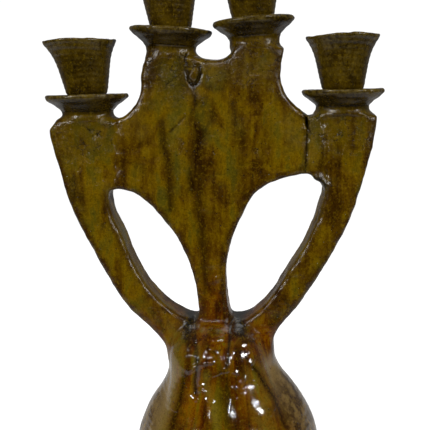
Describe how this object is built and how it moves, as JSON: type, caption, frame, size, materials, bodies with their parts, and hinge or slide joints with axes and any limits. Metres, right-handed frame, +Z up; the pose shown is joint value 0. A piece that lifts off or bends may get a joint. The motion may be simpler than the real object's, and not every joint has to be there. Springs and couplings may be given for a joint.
{
  "type": "clay candelabrum",
  "caption": "Hand-built glazed clay candelabrum in tree-of-life form: hollow bell base, slab crown with curved arms, flared candle cups on drip pans.",
  "frame": {"origin": "on the table, under the middle of the whole piece's bounding box", "axes": "+Z up, +X to the viewer's right along the row of candle cups, -Y towards the viewer (front)"},
  "size_m": [0.2316, 0.1306, 0.3514],
  "materials": {
    "olive_glaze": "glossy lead glaze, olive amber with brown runs",
    "amber_glaze": "very glossy lead glaze, amber and red brown",
    "smoked_glaze": "worn, half-matt dark glaze with soot and wax marks"
  },
  "bodies": {
    "root": {"base_bell": "amber_glaze", "trunk_crown": "olive_glaze", "left_arm": "olive_glaze", "right_arm": "olive_glaze", "right_joint_coil": "olive_glaze", "front_left_tongue": "amber_glaze", "front_stem_tongue": "amber_glaze", "front_right_tongue": "amber_glaze", "back_right_tongue": "amber_glaze", "back_stem_tongue": "amber_glaze", "back_left_tongue": "amber_glaze", "left_outer_pan": "smoked_glaze", "left_outer_cup": "smoked_glaze", "left_outer_collar": "olive_glaze", "left_inner_pan": "smoked_glaze", "left_inner_cup": "smoked_glaze", "left_inner_collar": "olive_glaze", "right_inner_pan": "smoked_glaze", "right_inner_cup": "smoked_glaze", "right_inner_collar": "olive_glaze", "right_outer_pan": "smoked_glaze", "right_outer_cup": "smoked_glaze", "right_outer_collar": "olive_glaze", "neck_pad": "olive_glaze"}
  },
  "joints": []
}
